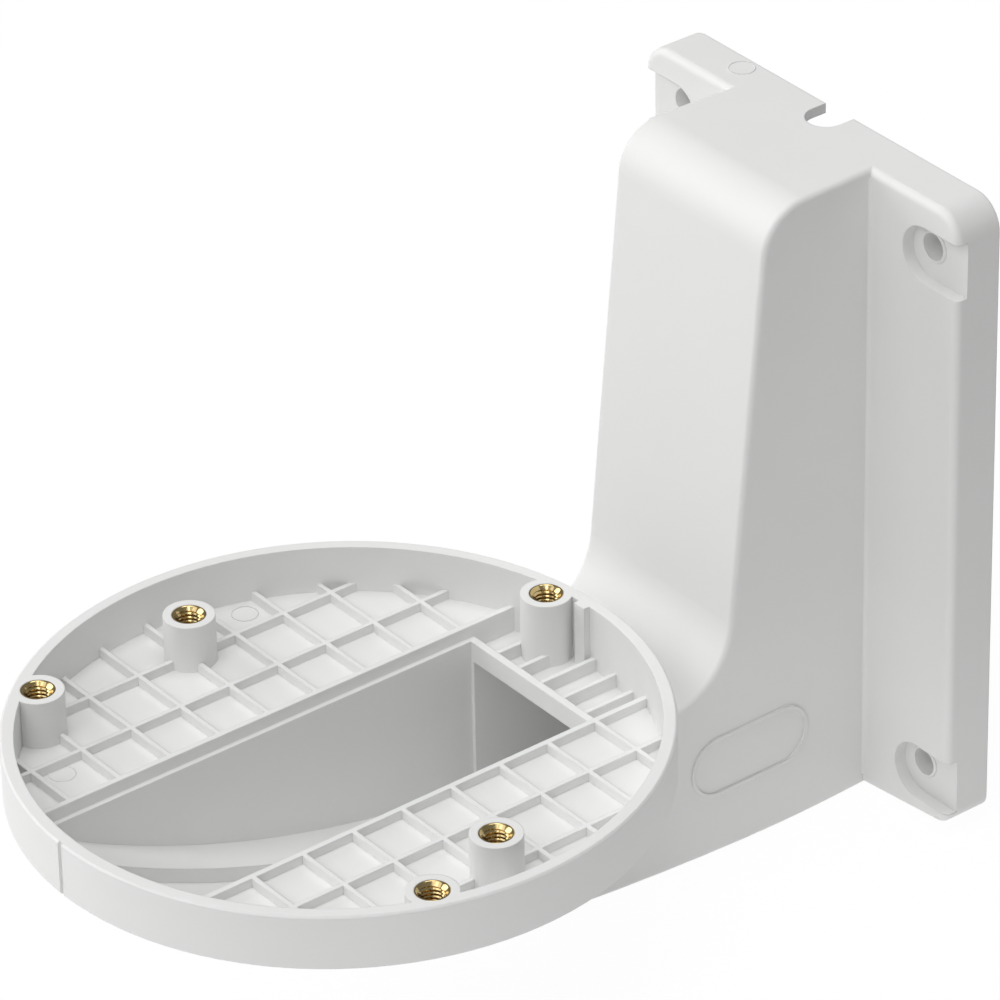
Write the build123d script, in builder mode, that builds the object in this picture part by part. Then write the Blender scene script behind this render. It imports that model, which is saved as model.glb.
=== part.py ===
from build123d import *
import os

os.makedirs("parts", exist_ok=True)

# Camera wall bracket: one white plastic moulding, with five brass inserts pressed into it.
# Millimetres. The origin is the centre of the four wall screws, on the face that meets the wall.
# +Z is up as the photograph shows it, -Y points away from the wall, and X is across.

# Wall plate
plate_w = 88.4
plate_t = 10.0
plate_top = 66.0
plate_side_bottom = -65.0
plate_corner_r = 6.0
plate_low_corner_r = 3.5
plate_edge_r = 1.5
wall_hole_x = 35.1
wall_hole_z = 55.75
wall_hole_r = 2.65
wall_pocket_r = 5.75
wall_pocket_drop = 1.1
wall_pocket_depth = 2.54
notch_w = 7.8
notch_depth = 7.2
core_x = 32.0
core_w = 17.0
core_pitch = 18.6
core_wall = 2.0

# Dish that the camera base is screwed to
dish_y = -117.5
rim_z = -17.8
dish_r = 61.0
rim_t = 2.6
rim_h = 11.2
rim_top_edge = 0.4
rim_low_edge = 0.3
floor_z = rim_z - 9.7
rib_top_z = rim_z - 7.9
rib_t = 1.0
rib_columns = (-45.2, -32.0, 32.0, 45.2)
rib_pitch = 11.05
rib_row_shift = -1.25
groove_x = -0.5
groove_w = 1.0

# Arm and riser
half_w_wall = 19.6
half_w_front = 20.9
arm_bottom = -67.6
foot_z = rim_z - 14.4
arm_top = rim_z - 1.0
arm_top_end = 45.5
taper_y = -40.0
face_top_y = -34.75
face_foot_y = -44.6
riser_top_r = 9.5
foot_r = 16.0
side_edge_r = 1.0
web_r = 1.2
skin = 2.5
top_skin = 2.0
over = 0.3

# Slot, ledge and channel inside the arm
slot_half = 18.2
tall_rib_in = 19.3
tall_rib_out = 20.5
slot_end = 44.0
end_rib_t = 1.6
ledge_z = rim_z - 10.4
comb_top_z = rim_z - 10.6
comb_floor_z = rim_z - 13.2
comb_slab = 1.4
comb_first_x = 13.6
comb_pitch = 6.5
ledge_rise = 4.4
channel_rise = 1.3
channel_half = 8.7
channel_front = -52.0
riser_half = 17.4
lintel = 57.5

# The underside's curve: where its arcs meet, as (y, z), and where it leaves the dish at the front
belly_flat_end = -17.5
belly_middle = (-80.0, -64.3)
belly_front = (-157.5, -41.1)
front_y = -180.0
front_z = -19.8
ledge_front_z = -22.5

# Bosses and inserts: three on a circle and two on the cross axis
boss_r = 4.9
insert_r = 3.25
insert_len = 8.0
insert_hole_depth = 8.6
thread_minor_r = 2.1
circle_r = 56.0
circle_angle = 69.8
pair_x = 45.9
side_block_x = -2.25
side_block_w = 2.9
side_block_l = 2.6

# Raised blank outline on the arm's right side, centred at (y, z)
badge_at = (-38.6, -47.5)
badge_l = 28.2
badge_h = 13.0
badge_line = 0.8
badge_rise = 0.35

boss_spots = {
    "insert_circle_front": Location((0, dish_y)) * Rot(Z=circle_angle - 120) * Pos(0, -circle_r),
    "insert_circle_side": Location((0, dish_y)) * Rot(Z=circle_angle) * Pos(0, -circle_r),
    "insert_circle_back": Location((0, dish_y)) * Rot(Z=circle_angle + 120) * Pos(0, -circle_r),
    "insert_pair_left": Location((-pair_x, dish_y)),
    "insert_pair_right": Location((pair_x, dish_y)),
}
boss_xy = {key: (spot.position.X, spot.position.Y) for key, spot in boss_spots.items()}

in_r = dish_r - rim_t
rim_bottom = rim_z - rim_h


def belly(rise, back_y, end_z):
    # The curve of the arm's underside, from the wall to the front of the dish, moved up by rise.
    run = Line((back_y, arm_bottom + rise), (belly_flat_end, arm_bottom + rise))
    long_arc = TangentArc(run @ 1, (belly_middle[0], belly_middle[1] + rise), tangent=run % 1)
    mid_arc = TangentArc(long_arc @ 1, (belly_front[0], belly_front[1] + rise), tangent=long_arc % 1)
    nose_arc = TangentArc(mid_arc @ 1, (front_y, end_z), tangent=mid_arc % 1)
    return run, nose_arc


# Arm and riser: the side outline, bounded in plan by the tapered sides and the dish's circle
with BuildPart() as arm:
    with BuildSketch(Plane.YZ) as side_outline:
        with BuildLine():
            run, nose = belly(0, 0, front_z)
            Polyline(
                nose @ 1,
                (front_y, arm_top),
                (dish_y + arm_top_end, arm_top),
                (dish_y + arm_top_end, foot_z),
                (face_foot_y, foot_z),
                (face_top_y, plate_top),
                (0, plate_top),
                run @ 0,
            )
        make_face()
        top_corner = side_outline.vertices().sort_by_distance((face_top_y, plate_top))[0]
        fillet(top_corner, riser_top_r)
        foot_corner = side_outline.vertices().sort_by_distance((face_foot_y, foot_z))[0]
        fillet(foot_corner, foot_r)
    extrude(amount=30, both=True)
    with BuildSketch(Plane.XY.offset(arm_bottom - 1)):
        with Locations((0, dish_y)):
            Circle(dish_r)
        with Locations((0, dish_y / 2)):
            Rectangle(60, -dish_y)
        with BuildLine():
            Polyline(
                (half_w_front, taper_y),
                (half_w_front, front_y - 10),
                (-half_w_front, front_y - 10),
                (-half_w_front, taper_y),
            )
            right = TangentArc((half_w_front, taper_y), (half_w_wall, 0), tangent=(0, 1))
            left = TangentArc((-half_w_front, taper_y), (-half_w_wall, 0), tangent=(0, 1))
            Line(left @ 1, right @ 1)
        make_face(mode=Mode.INTERSECT)
    extrude(amount=plate_top - arm_bottom + 2, mode=Mode.INTERSECT)
    side_edges = arm.edges().filter_by(lambda e: abs(e.center().X) > 19)
    side_edges = side_edges.filter_by(lambda e: abs(e.tangent_at(0.5).X) < 0.1)
    side_edges = side_edges.filter_by(lambda e: e.bounding_box().size.Y > 2)
    upper = side_edges.filter_by(lambda e: e.center().Y > dish_y + arm_top_end + 1 and e.center().Z > foot_z - 0.1)
    fillet(upper, side_edge_r)
    side_edges = arm.edges().filter_by(lambda e: abs(e.center().X) > 19)
    side_edges = side_edges.filter_by(lambda e: abs(e.tangent_at(0.5).X) < 0.1)
    lower = side_edges.filter_by(lambda e: e.center().Z < -46 and e.bounding_box().size.Y > 12)
    fillet(lower, side_edge_r)
    # The dish's wall runs down to the foot behind the dish.
    with BuildSketch(Plane.XY.offset(foot_z - 0.6)):
        with Locations((0, dish_y)):
            Circle(dish_r)
        with Locations((0, dish_y + 50)):
            Rectangle(2 * half_w_front - 0.4, 30, mode=Mode.INTERSECT)
    extrude(amount=rim_h - 5 + 0.6)

# Wall plate, with its rounded outline and rounded front edges
with BuildPart() as plate:
    with BuildSketch(Plane.XZ) as plate_outline:
        with BuildLine():
            Polyline(
                (-plate_w / 2, plate_top),
                (plate_w / 2, plate_top),
                (plate_w / 2, plate_side_bottom),
                (half_w_wall, arm_bottom),
                (-half_w_wall, arm_bottom),
                (-plate_w / 2, plate_side_bottom),
                close=True,
            )
        make_face()
        fillet(plate_outline.vertices().group_by(Axis.Y)[-1], plate_corner_r)
        low = plate_outline.vertices().filter_by(lambda v: abs(abs(v.X) - plate_w / 2) < 0.01)
        fillet(low.filter_by(lambda v: v.Y < 0), plate_low_corner_r)
    extrude(amount=plate_t)
    fillet(plate.faces().sort_by(Axis.Y)[0].edges(), plate_edge_r)

def hollow_outline(rise, end_z):
    # Side outline of a hollow that follows the underside at a height of rise above it
    start, end = belly(rise, 1, end_z)
    Polyline(
        end @ 1,
        (front_y, rim_z),
        (dish_y + slot_end, rim_z),
        (dish_y + slot_end, -50),
        (1, -50),
        start @ 0,
    )


# Hollow of the arm under the dish: a ledge along each side and a deeper channel between them
with BuildPart() as arm_hollow:
    with BuildSketch(Plane.YZ):
        with BuildLine():
            hollow_outline(ledge_rise, ledge_front_z)
        make_face()
        with Locations((dish_y + slot_end + 100, 0)):
            Rectangle(200, 300, mode=Mode.SUBTRACT)
    extrude(amount=slot_half, both=True)

with BuildPart() as channel:
    with BuildSketch(Plane.YZ):
        with BuildLine():
            hollow_outline(channel_rise, front_z + channel_rise)
        make_face()
        with Locations((dish_y + channel_front - 100, 0)):
            Rectangle(200, 300, mode=Mode.SUBTRACT)
    extrude(amount=channel_half, both=True)

# Hollow of the riser, open at the wall, and joined to the arm's hollow
with BuildPart() as riser_hollow:
    with BuildSketch(Plane.YZ) as riser_inner:
        with BuildLine():
            run, nose = belly(ledge_rise, 1, ledge_front_z)
            Polyline(
                nose @ 1,
                (front_y, rim_z),
                (dish_y + slot_end, rim_z),
                (dish_y + slot_end, comb_floor_z - comb_slab),
                (dish_y + lintel, comb_floor_z - comb_slab),
                (dish_y + lintel + 2, foot_z - skin),
                (face_foot_y + skin, foot_z - skin),
                (face_top_y + skin, plate_top - top_skin),
                (1, plate_top - top_skin),
                run @ 0,
            )
        make_face()
        inner_foot = riser_inner.vertices().sort_by_distance((face_foot_y + skin, foot_z - skin))[0]
        fillet(inner_foot, foot_r)
        inner_top = riser_inner.vertices().sort_by_distance((face_top_y + skin, plate_top - top_skin))[0]
        fillet(inner_top, riser_top_r - skin)
        with Locations((dish_y + slot_end - 100, 0)):
            Rectangle(200, 300, mode=Mode.SUBTRACT)
    extrude(amount=riser_half, both=True)

# Everything inside the dish's front wall is bounded by the inner circle.
with BuildPart() as front_bound:
    with BuildSketch(Plane.XY.offset(arm_bottom - 5)):
        with Locations((0, dish_y)):
            Circle(in_r)
        with Locations((0, dish_y / 2 + 1)):
            Rectangle(60, -dish_y + 2)
    extrude(amount=200)

with BuildPart() as hollows:
    add(arm_hollow)
    add(channel)
    add(front_bound, mode=Mode.INTERSECT)
    add(riser_hollow)

# Dish, before its inside is cut: its rim's outer edges are broken
with BuildPart() as dish:
    with BuildSketch(Plane.XY.offset(rim_bottom)):
        with Locations((0, dish_y)):
            Circle(dish_r)
    extrude(amount=rim_h)
    chamfer(dish.faces().sort_by(Axis.Z)[-1].edges(), rim_top_edge)
    chamfer(dish.faces().sort_by(Axis.Z)[0].edges(), rim_low_edge)

# Inside of the dish, down to its floor
with BuildPart() as dish_inside:
    with BuildSketch(Plane.XY.offset(floor_z)):
        with Locations((0, dish_y)):
            Circle(in_r)
    extrude(amount=rim_z - floor_z)

# The moulding
with BuildPart() as bracket_body:
    add(arm)
    add(plate)
    add(dish)
    # Rounded inner corners where the arm's sides meet the plate
    with BuildSketch(Plane.XY.offset(arm_bottom + 2 * web_r)):
        for side in (-1, 1):
            corner = side * (half_w_wall + over)
            with Locations((corner + side * 0.5 * web_r, -plate_t - 0.5 * web_r)):
                Rectangle(web_r, web_r)
            with Locations((corner + side * web_r, -plate_t - web_r)):
                Circle(web_r, mode=Mode.SUBTRACT)
    extrude(amount=plate_top - plate_edge_r - arm_bottom - 2 * web_r)
    # Inside of the dish, the lowered strip over the arm and the lower floor beyond the slot
    add(dish_inside, mode=Mode.SUBTRACT)
    with BuildSketch(Plane.XY.offset(rim_z)):
        with Locations((0, dish_y)):
            Circle(in_r)
        with Locations((0, dish_y)):
            Rectangle(2 * tall_rib_in, 2 * dish_r, mode=Mode.INTERSECT)
    extrude(amount=ledge_z - rim_z, mode=Mode.SUBTRACT)
    with BuildSketch(Plane.XY.offset(rim_z)):
        with Locations((0, dish_y)):
            Circle(in_r)
        with Locations((0, dish_y + slot_end + end_rib_t + 20)):
            Rectangle(2 * tall_rib_in, 40, mode=Mode.INTERSECT)
    extrude(amount=comb_floor_z - rim_z, mode=Mode.SUBTRACT)
    add(hollows, mode=Mode.SUBTRACT)
    # Stiffening ribs: a grid on each side floor
    with BuildSketch(Plane.XY.offset(floor_z - over)):
        for x in rib_columns:
            with Locations((x, dish_y)):
                Rectangle(rib_t, 2 * dish_r)
        for step in range(-4, 5):
            with Locations((0, dish_y + rib_row_shift + rib_pitch * step)):
                Rectangle(2 * dish_r, rib_t)
        with Locations((0, dish_y)):
            Rectangle(2 * tall_rib_out - over, 2 * dish_r, mode=Mode.SUBTRACT)
        with Locations((0, dish_y)):
            Circle(in_r + over, mode=Mode.INTERSECT)
    extrude(amount=rib_top_z - floor_z + over)
    # Tall ribs along both sides of the slot
    with BuildSketch(Plane.XY.offset(ledge_z - over)):
        for side in (-1, 1):
            with Locations((side * 0.5 * (tall_rib_in + tall_rib_out), dish_y)):
                Rectangle(tall_rib_out - tall_rib_in, 2 * dish_r)
        with Locations((0, dish_y)):
            Circle(in_r + over, mode=Mode.INTERSECT)
    extrude(amount=rib_top_z - ledge_z + over)
    # Comb of ribs over the lower floor, from the slot's end rib to the dish's wall
    with BuildSketch(Plane.XY.offset(comb_floor_z - over)):
        for spot in range(5):
            with Locations((comb_first_x - comb_pitch * spot, dish_y + slot_end + 10)):
                Rectangle(rib_t, 20)
        with Locations((0, dish_y + slot_end + 0.5 * end_rib_t)):
            Rectangle(2 * (tall_rib_in + over), end_rib_t)
        with Locations((0, dish_y)):
            Circle(in_r + over, mode=Mode.INTERSECT)
    extrude(amount=comb_top_z - comb_floor_z + over)
    # Insert bosses, flush with the rim, and the small block on the wall beside the back one
    with BuildSketch(Plane.XY.offset(floor_z - 1)):
        for x, y in boss_xy.values():
            with Locations((x, y)):
                Circle(boss_r)
        with Locations((0, dish_y)):
            Circle(in_r + 1, mode=Mode.INTERSECT)
    extrude(amount=rim_z - floor_z + 1)
    with BuildSketch(Plane.XY.offset(comb_floor_z - over)):
        with Locations(boss_xy["insert_circle_back"]):
            Circle(boss_r)
        with Locations((side_block_x, dish_y + in_r)):
            Rectangle(side_block_w, side_block_l)
        with Locations((0, dish_y)):
            Circle(in_r + 1, mode=Mode.INTERSECT)
    extrude(amount=rim_z - comb_floor_z + over)
    for x, y in boss_xy.values():
        with BuildSketch(Plane.XY.offset(rim_z)):
            with Locations((x, y)):
                Circle(insert_r)
        extrude(amount=-insert_hole_depth, mode=Mode.SUBTRACT)
    # Screw pockets, open to the plate's sides, and the holes through them
    with BuildSketch(Plane.XZ.offset(plate_t)):
        for x in (-1, 1):
            for z in (-1, 1):
                with Locations((x * wall_hole_x, z * wall_hole_z - wall_pocket_drop)):
                    Circle(wall_pocket_r)
                with Locations((x * (wall_hole_x + 10), z * wall_hole_z - wall_pocket_drop)):
                    Rectangle(20, 2 * wall_pocket_r)
    extrude(amount=-wall_pocket_depth, mode=Mode.SUBTRACT)
    with BuildSketch(Plane.XZ):
        with GridLocations(2 * wall_hole_x, 2 * wall_hole_z, 2, 2):
            Circle(wall_hole_r)
    extrude(amount=plate_t, mode=Mode.SUBTRACT)
    # Cable notch in the top edge, at the wall
    with BuildSketch(Plane.XY.offset(plate_top + 1)):
        with Locations((0, -(notch_depth - notch_w / 2))):
            Circle(notch_w / 2)
        with Locations((0, -(notch_depth - notch_w / 2) / 2 + 1)):
            Rectangle(notch_w, notch_depth - notch_w / 2 + 2)
    extrude(amount=-top_skin - 3, mode=Mode.SUBTRACT)
    # Cores in the back of the flanges
    with BuildSketch(Plane.XZ):
        with GridLocations(2 * core_x, core_pitch, 2, 5):
            Rectangle(core_w, core_pitch - core_wall)
    extrude(amount=plate_t - skin, mode=Mode.SUBTRACT)
    # Index groove down the middle of the dish's front
    with BuildSketch(Plane.XY.offset(rim_z)):
        with Locations((groove_x, dish_y - dish_r)):
            Rectangle(groove_w, groove_w)
    extrude(amount=-rim_h, mode=Mode.SUBTRACT)
    # Raised plain outline on the arm's right side
    with BuildSketch(Plane.YZ.offset(half_w_front - skin)):
        with Locations(badge_at):
            SlotOverall(badge_l, badge_h)
            SlotOverall(badge_l - 2 * badge_line, badge_h - 2 * badge_line, mode=Mode.SUBTRACT)
    extrude(amount=skin + badge_rise)
bracket_body.part.label = "bracket_body"
print("bracket_body volume mm3", round(bracket_body.part.volume), "solids", len(bracket_body.part.solids()))
export_step(bracket_body.part, "parts/bracket_body.step")

# Brass inserts, flush with the bosses
for key, (x, y) in boss_xy.items():
    with BuildPart(Plane((x, y, rim_z))) as insert:
        with Locations((0, 0, -insert_len)):
            Cylinder(insert_r, insert_len, align=(Align.CENTER, Align.CENTER, Align.MIN))
        Hole(thread_minor_r)
    insert.part.label = key
    export_step(insert.part, f"parts/{key}.step")
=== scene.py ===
import math

import bmesh
import bpy
from mathutils import Matrix, Vector


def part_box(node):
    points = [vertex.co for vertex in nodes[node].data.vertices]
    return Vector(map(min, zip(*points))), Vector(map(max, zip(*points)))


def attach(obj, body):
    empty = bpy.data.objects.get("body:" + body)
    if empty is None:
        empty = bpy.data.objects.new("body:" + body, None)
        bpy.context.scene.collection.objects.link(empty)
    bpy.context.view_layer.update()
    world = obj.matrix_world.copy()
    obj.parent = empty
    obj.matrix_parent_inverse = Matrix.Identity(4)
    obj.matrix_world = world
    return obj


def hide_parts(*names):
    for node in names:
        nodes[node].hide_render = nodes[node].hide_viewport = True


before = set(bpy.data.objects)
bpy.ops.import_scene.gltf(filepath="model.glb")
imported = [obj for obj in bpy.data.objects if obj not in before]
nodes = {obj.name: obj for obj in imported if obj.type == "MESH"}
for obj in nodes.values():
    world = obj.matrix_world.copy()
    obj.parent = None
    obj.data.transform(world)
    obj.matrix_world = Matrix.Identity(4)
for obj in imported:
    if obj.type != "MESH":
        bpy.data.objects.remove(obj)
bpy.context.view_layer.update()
scene = bpy.context.scene
MM = 0.001

# Places on the part, in millimetres, as the CAD model has them
DISH_FLOOR_Z = -27.5
DISH_Y = -117.5
ARM_BOTTOM = -67.6
PLATE_TOP = 66.0

# The photograph's camera, in metres
VIEW = Vector((-0.65968899, 0.54043977, -0.52224063))
RIGHT = Vector((0.63506912, 0.77245007, -0.00284422))
UP = Vector((-0.40186769, 0.3335352, 0.85279343))
CAMERA_AT = Vector((0.85356116, -0.73584454, 0.68541513))
SENSOR_MM = 36.0
FOCAL_IN_WIDTHS = 7.02727533
SHIFT_X = -0.18593478
SHIFT_Y = -0.05938429

# The studio, in metres: the middle that the lights point at, and the floor just under the arm
MIDDLE = Vector((0.0, -0.09, 0.0))
FLOOR_LEVEL = ARM_BOTTOM * MM - 0.0002
FLOOR_REACH = 30.0
LIGHT_DISTANCE = 1.3
LIGHT_SIZE = 0.9

# Each light's direction from the middle, and its power in watts
LIGHTS = {
    "left": ((-0.80, -0.50, 0.40), 6.6),
    "front": ((0.0, -1.0, 0.90), 2.9),
    "fill": ((0.40, -0.70, 0.80), 3.2),
    "top": ((0.0, 0.0, 1.0), 7.6),
}
WORLD_STRENGTH = 0.205

# The floor to the camera: nearly all glow, with a little paper to carry the shadow
FLOOR_GLOW = 1.02
FLOOR_GLOW_SHARE = 0.94
# The light that it throws back up under the part, and how far out that light reaches
BOUNCE_STRENGTH = 0.38
BOUNCE_REACH = 0.25

# Points round each turned shape
AROUND = 72

# Brass insert, in millimetres: a turned ring with a rolled outer edge, a lead-in and a thread
INSERT_R = 3.25
INSERT_LENGTH = 8.0
INSERT_BEVEL = 0.12
LIP_DEPTH = -0.01
MOUTH_R = 2.88
MOUTH_DEPTH = -0.05
CONE_SLOPE = 1.2
THREAD_MINOR_R = 2.1
THREAD_MAJOR_R = 2.5
THREAD_PITCH = 0.8
# One turn of the thread as (share of the pitch, radius)
THREAD_PROFILE = (
    (0.0, THREAD_MINOR_R),
    (0.18, THREAD_MINOR_R),
    (0.50, THREAD_MAJOR_R),
    (0.60, THREAD_MAJOR_R),
)
# Edges of the insert that turn by more than this stay sharp
SHARP_ANGLE = math.radians(28)

# Witness rings that the ejector pins left, in millimetres. A section is (across, rise).
MARK_R = 2.5
MARK_W = 0.22
MARK_H = 0.10
MARK_SINK = 0.05
MARK_SECTION = (
    (-MARK_W / 2, -MARK_SINK),
    (-MARK_W / 4, MARK_H),
    (MARK_W / 4, MARK_H),
    (MARK_W / 2, -MARK_SINK),
)
MARKS = {
    "ejector_ring_left": (-51.7, DISH_Y + 16.65, DISH_FLOOR_Z),
    "ejector_ring_front": (-29.9, DISH_Y - 40.3, DISH_FLOOR_Z),
    "ejector_ring_top": (-24.1, -3.15, PLATE_TOP),
}

# Low collars round the wall plate's screw holes, on the floors of their pockets, in millimetres
WALL_HOLE_R = 2.65
WALL_HOLE_X = 35.1
WALL_HOLE_Z = 55.75
POCKET_FLOOR_Y = -7.46
COLLAR_SECTION = (
    (0.02, -0.05),
    (0.04, 0.30),
    (0.16, 0.38),
    (0.42, 0.34),
    (0.62, 0.14),
    (0.68, -0.05),
)
COLLARS = {
    "screw_collar_upper_left": (-WALL_HOLE_X, POCKET_FLOOR_Y, WALL_HOLE_Z),
    "screw_collar_upper_right": (WALL_HOLE_X, POCKET_FLOOR_Y, WALL_HOLE_Z),
    "screw_collar_lower_left": (-WALL_HOLE_X, POCKET_FLOOR_Y, -WALL_HOLE_Z),
    "screw_collar_lower_right": (WALL_HOLE_X, POCKET_FLOOR_Y, -WALL_HOLE_Z),
}

# Points of a mesh closer than this, in metres, become one
WELD_DISTANCE = 0.002 * MM


def add_camera():
    data = bpy.data.cameras.new("camera")
    data.sensor_width = SENSOR_MM
    data.lens = SENSOR_MM * FOCAL_IN_WIDTHS
    data.shift_x = SHIFT_X
    data.shift_y = SHIFT_Y
    data.clip_start = 0.01
    data.clip_end = 50.0
    camera = bpy.data.objects.new("camera", data)
    scene.collection.objects.link(camera)
    turn = Matrix((RIGHT, UP, -VIEW)).transposed()
    camera.matrix_world = Matrix.Translation(CAMERA_AT) @ turn.to_4x4()
    scene.camera = camera


def add_light(name, towards, power):
    # A square soft light in the direction given, facing the middle of the part
    data = bpy.data.lights.new(name, "AREA")
    data.shape = "SQUARE"
    data.size = LIGHT_SIZE
    data.energy = power
    light = bpy.data.objects.new(name, data)
    direction = Vector(towards).normalized()
    light.location = MIDDLE + LIGHT_DISTANCE * direction
    light.rotation_euler = direction.to_track_quat("Z", "Y").to_euler()
    scene.collection.objects.link(light)


def new_material(name):
    material = bpy.data.materials.new(name)
    material.use_nodes = True
    tree = material.node_tree
    tree.nodes.clear()
    return material, tree


def add_node(tree, kind, **values):
    node = tree.nodes.new(kind)
    for key, value in values.items():
        setattr(node, key, value)
    return node


def set_inputs(node, **values):
    # Sets sockets by name, with an underscore for each space in the name
    for key, value in values.items():
        node.inputs[key.replace("_", " ")].default_value = value


def white_plastic():
    # Satin moulded plastic with a fine spark-eroded texture and a slight unevenness of colour
    material, tree = new_material("white_plastic")
    link = tree.links.new
    shader = add_node(tree, "ShaderNodeBsdfPrincipled")
    set_inputs(shader, IOR=1.49, Specular_IOR_Level=0.42)
    place = add_node(tree, "ShaderNodeTexCoord")
    mottle = add_node(tree, "ShaderNodeTexNoise")
    set_inputs(mottle, Scale=38.0, Detail=3.0, Roughness=0.55)
    link(place.outputs["Object"], mottle.inputs["Vector"])
    tint = add_node(tree, "ShaderNodeMix", data_type="RGBA")
    tint.inputs["A"].default_value = (0.800, 0.802, 0.794, 1.0)
    tint.inputs["B"].default_value = (0.830, 0.832, 0.822, 1.0)
    link(mottle.outputs["Fac"], tint.inputs["Factor"])
    link(tint.outputs["Result"], shader.inputs["Base Color"])
    sheen_map = add_node(tree, "ShaderNodeMapRange")
    set_inputs(sheen_map, From_Min=0.3, From_Max=0.7, To_Min=0.46, To_Max=0.56)
    link(mottle.outputs["Fac"], sheen_map.inputs["Value"])
    link(sheen_map.outputs["Result"], shader.inputs["Roughness"])
    grain = add_node(tree, "ShaderNodeTexNoise")
    set_inputs(grain, Scale=1500.0, Detail=2.0, Roughness=0.6)
    link(place.outputs["Object"], grain.inputs["Vector"])
    soft_edge = add_node(tree, "ShaderNodeBevel", samples=6)
    set_inputs(soft_edge, Radius=0.00035)
    bump = add_node(tree, "ShaderNodeBump")
    set_inputs(bump, Strength=0.22, Distance=0.00006)
    link(grain.outputs["Fac"], bump.inputs["Height"])
    link(soft_edge.outputs["Normal"], bump.inputs["Normal"])
    link(bump.outputs["Normal"], shader.inputs["Normal"])
    output = add_node(tree, "ShaderNodeOutputMaterial")
    link(shader.outputs["BSDF"], output.inputs["Surface"])
    return material


def brass():
    # Turned brass, with faint tool marks across the face and a slight tarnish
    material, tree = new_material("brass")
    link = tree.links.new
    shader = add_node(tree, "ShaderNodeBsdfPrincipled")
    set_inputs(shader, Metallic=1.0)
    place = add_node(tree, "ShaderNodeTexCoord")
    stain = add_node(tree, "ShaderNodeTexNoise")
    set_inputs(stain, Scale=420.0, Detail=4.0, Roughness=0.6)
    link(place.outputs["Object"], stain.inputs["Vector"])
    tint = add_node(tree, "ShaderNodeMix", data_type="RGBA")
    tint.inputs["A"].default_value = (0.56, 0.40, 0.17, 1.0)
    tint.inputs["B"].default_value = (0.80, 0.64, 0.33, 1.0)
    link(stain.outputs["Fac"], tint.inputs["Factor"])
    link(tint.outputs["Result"], shader.inputs["Base Color"])
    wear = add_node(tree, "ShaderNodeMapRange")
    set_inputs(wear, From_Min=0.3, From_Max=0.7, To_Min=0.10, To_Max=0.18)
    link(stain.outputs["Fac"], wear.inputs["Value"])
    link(wear.outputs["Result"], shader.inputs["Roughness"])
    marks = add_node(tree, "ShaderNodeTexNoise")
    set_inputs(marks, Scale=2600.0, Detail=2.0)
    link(place.outputs["Object"], marks.inputs["Vector"])
    bump = add_node(tree, "ShaderNodeBump")
    set_inputs(bump, Strength=0.12, Distance=0.00002)
    link(marks.outputs["Fac"], bump.inputs["Height"])
    link(bump.outputs["Normal"], shader.inputs["Normal"])
    output = add_node(tree, "ShaderNodeOutputMaterial")
    link(shader.outputs["BSDF"], output.inputs["Surface"])
    return material


def floor_material():
    # White to the camera, with the part's shadow kept faintly
    material, tree = new_material("studio_floor")
    link = tree.links.new
    paper = add_node(tree, "ShaderNodeBsdfDiffuse")
    set_inputs(paper, Color=(0.86, 0.86, 0.86, 1.0))
    glow = add_node(tree, "ShaderNodeEmission")
    set_inputs(glow, Strength=FLOOR_GLOW)
    seen = add_node(tree, "ShaderNodeMixShader")
    set_inputs(seen, Fac=FLOOR_GLOW_SHARE)
    link(paper.outputs["BSDF"], seen.inputs[1])
    link(glow.outputs["Emission"], seen.inputs[2])
    # To other rays it is paper with some light of its own, which fades away from the part.
    place = add_node(tree, "ShaderNodeTexCoord")
    away = add_node(tree, "ShaderNodeVectorMath", operation="DISTANCE")
    away.inputs[1].default_value = (MIDDLE.x, MIDDLE.y, FLOOR_LEVEL)
    link(place.outputs["Object"], away.inputs[0])
    fade = add_node(tree, "ShaderNodeMapRange", interpolation_type="SMOOTHSTEP")
    set_inputs(fade, From_Min=0.0, From_Max=BOUNCE_REACH, To_Min=BOUNCE_STRENGTH, To_Max=0.0)
    link(away.outputs["Value"], fade.inputs["Value"])
    bounce = add_node(tree, "ShaderNodeEmission")
    link(fade.outputs["Result"], bounce.inputs["Strength"])
    table = add_node(tree, "ShaderNodeAddShader")
    link(paper.outputs["BSDF"], table.inputs[0])
    link(bounce.outputs["Emission"], table.inputs[1])
    path = add_node(tree, "ShaderNodeLightPath")
    final = add_node(tree, "ShaderNodeMixShader")
    link(path.outputs["Is Camera Ray"], final.inputs["Fac"])
    link(table.outputs["Shader"], final.inputs[1])
    link(seen.outputs["Shader"], final.inputs[2])
    output = add_node(tree, "ShaderNodeOutputMaterial")
    link(final.outputs["Shader"], output.inputs["Surface"])
    return material


def add_world():
    # Dim and even for light and reflections, and white to the camera
    world = bpy.data.worlds.new("studio")
    world.use_nodes = True
    tree = world.node_tree
    tree.nodes.clear()
    link = tree.links.new
    soft = add_node(tree, "ShaderNodeBackground")
    set_inputs(soft, Color=(1.0, 1.0, 1.0, 1.0), Strength=WORLD_STRENGTH)
    white = add_node(tree, "ShaderNodeBackground")
    set_inputs(white, Color=(1.0, 1.0, 1.0, 1.0), Strength=1.0)
    path = add_node(tree, "ShaderNodeLightPath")
    mix = add_node(tree, "ShaderNodeMixShader")
    link(path.outputs["Is Camera Ray"], mix.inputs["Fac"])
    link(soft.outputs["Background"], mix.inputs[1])
    link(white.outputs["Background"], mix.inputs[2])
    output = add_node(tree, "ShaderNodeOutputWorld")
    link(mix.outputs["Shader"], output.inputs["Surface"])
    scene.world = world


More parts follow.
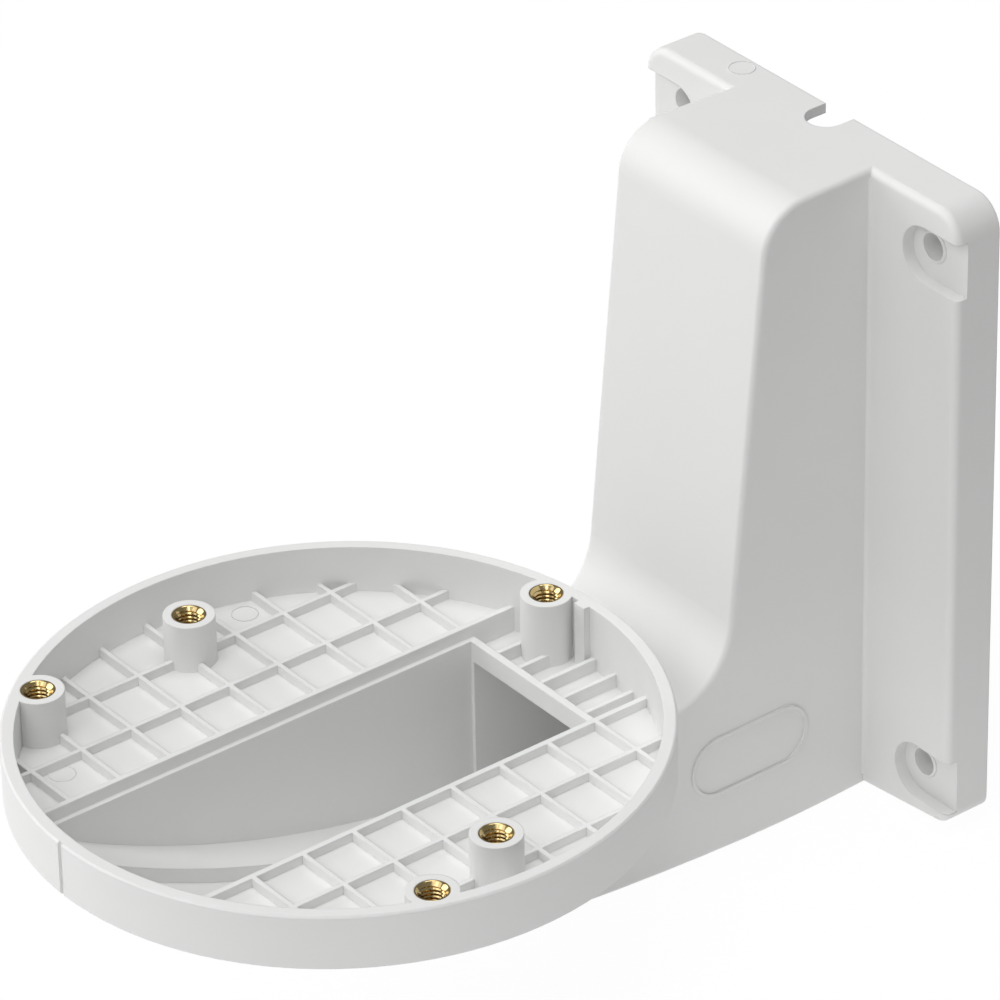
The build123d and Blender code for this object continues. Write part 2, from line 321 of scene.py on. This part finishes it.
def mesh_object(name, verts_mm, faces, material):
    # A smooth object from points in millimetres. Points that fell together are joined,
    # and the faces are turned outwards.
    mesh = bpy.data.meshes.new(name)
    mesh.from_pydata([[c * MM for c in v] for v in verts_mm], [], faces)
    mesh.materials.append(material)
    mesh.update()
    mesh.shade_smooth()
    work = bmesh.new()
    work.from_mesh(mesh)
    bmesh.ops.remove_doubles(work, verts=work.verts, dist=WELD_DISTANCE)
    bmesh.ops.recalc_face_normals(work, faces=work.faces)
    work.to_mesh(mesh)
    work.free()
    piece = bpy.data.objects.new(name, mesh)
    scene.collection.objects.link(piece)
    return piece


def insert_rings():
    # Rings of (radius, depth) from the bottom of the outside, over the lip and down the thread.
    # Past the ends of the bore the depth is held, so that the thread runs out there.
    outside = (
        (INSERT_R - INSERT_BEVEL, -INSERT_LENGTH),
        (INSERT_R, -INSERT_LENGTH + INSERT_BEVEL),
        (INSERT_R, -0.14),
        (INSERT_R - 0.04, -0.05),
        (INSERT_R - 0.14, LIP_DEPTH),
        (MOUTH_R + 0.08, LIP_DEPTH),
        (MOUTH_R, MOUTH_DEPTH),
    )
    rings = [[point] * AROUND for point in outside]
    for turn in range(-1, round(INSERT_LENGTH / THREAD_PITCH) + 1):
        for share, radius in THREAD_PROFILE:
            ring = []
            for step in range(AROUND):
                depth = -(turn + share + step / AROUND) * THREAD_PITCH
                if depth <= -INSERT_LENGTH:
                    ring.append((THREAD_MAJOR_R, -INSERT_LENGTH))
                    continue
                depth = min(depth, MOUTH_DEPTH)
                cone = MOUTH_R + (depth - MOUTH_DEPTH) * CONE_SLOPE
                ring.append((max(radius, cone), depth))
            rings.append(ring)
    return rings, len(outside)


def add_insert(key, material):
    # The insert with its thread, in place of the CAD node's plain ring
    corner, far_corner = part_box(key)
    x = 0.5 * (corner.x + far_corner.x) / MM
    y = 0.5 * (corner.y + far_corner.y) / MM
    top = far_corner.z / MM
    rings, thread_from = insert_rings()
    verts = []
    for ring in rings:
        for step, (radius, depth) in enumerate(ring):
            # The angle falls with the depth, which makes the thread right-handed.
            angle = -2 * math.pi * step / AROUND
            verts.append((x + radius * math.cos(angle), y + radius * math.sin(angle), top + depth))

    def after(row, step):
        # The next point round a row. A full turn on, a row of the thread is one pitch lower.
        if step + 1 < AROUND:
            return row * AROUND + step + 1
        if row >= thread_from:
            row = min(row + len(THREAD_PROFILE), len(rings) - 1)
        return row * AROUND

    faces = []
    for row in range(len(rings)):
        below = (row + 1) % len(rings)
        for step in range(AROUND):
            faces.append((
                row * AROUND + step,
                after(row, step),
                after(below, step),
                below * AROUND + step,
            ))
    piece = mesh_object(key + "_threaded", verts, faces, material)
    piece.data.set_sharp_from_angle(angle=SHARP_ANGLE)
    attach(piece, "root")
    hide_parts(key)


def add_ring(name, centre, radius, section, looks_out, material):
    # A ring of the given section that stands on a face, sunk a little into it.
    # The face looks up, or out of the wall plate along -Y.
    x, y, z = centre
    corners = len(section)
    verts = []
    faces = []
    for step in range(AROUND):
        angle = 2 * math.pi * step / AROUND
        for across, rise in section:
            along = (radius + across) * math.cos(angle)
            beside = (radius + across) * math.sin(angle)
            if looks_out:
                verts.append((x + along, y - rise, z + beside))
            else:
                verts.append((x + along, y + beside, z + rise))
        here = step * corners
        there = (step + 1) % AROUND * corners
        for spot in range(corners):
            after = (spot + 1) % corners
            faces.append((here + spot, there + spot, there + after, here + after))
    piece = mesh_object(name, verts, faces, material)
    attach(piece, "root")


def add_floor():
    # Plain studio floor just under the arm
    corners = ((-1, -1), (1, -1), (1, 1), (-1, 1))
    mesh = bpy.data.meshes.new("studio_floor")
    mesh.from_pydata(
        [(x * FLOOR_REACH, y * FLOOR_REACH, FLOOR_LEVEL) for x, y in corners], [], [(0, 1, 2, 3)]
    )
    mesh.materials.append(floor_material())
    studio_floor = bpy.data.objects.new("studio_floor", mesh)
    scene.collection.objects.link(studio_floor)


add_camera()
add_world()
for name, (towards, power) in LIGHTS.items():
    add_light(name, towards, power)

plastic = white_plastic()
metal = brass()
for name, node in nodes.items():
    node.data.materials.clear()
    node.data.materials.append(plastic if name == "bracket_body" else metal)

for name in sorted(nodes):
    if name.startswith("insert_"):
        add_insert(name, metal)

for name, centre in MARKS.items():
    add_ring(name, centre, MARK_R, MARK_SECTION, False, plastic)
for name, centre in COLLARS.items():
    add_ring(name, centre, WALL_HOLE_R, COLLAR_SECTION, True, plastic)

add_floor()

scene.view_settings.view_transform = "Standard"
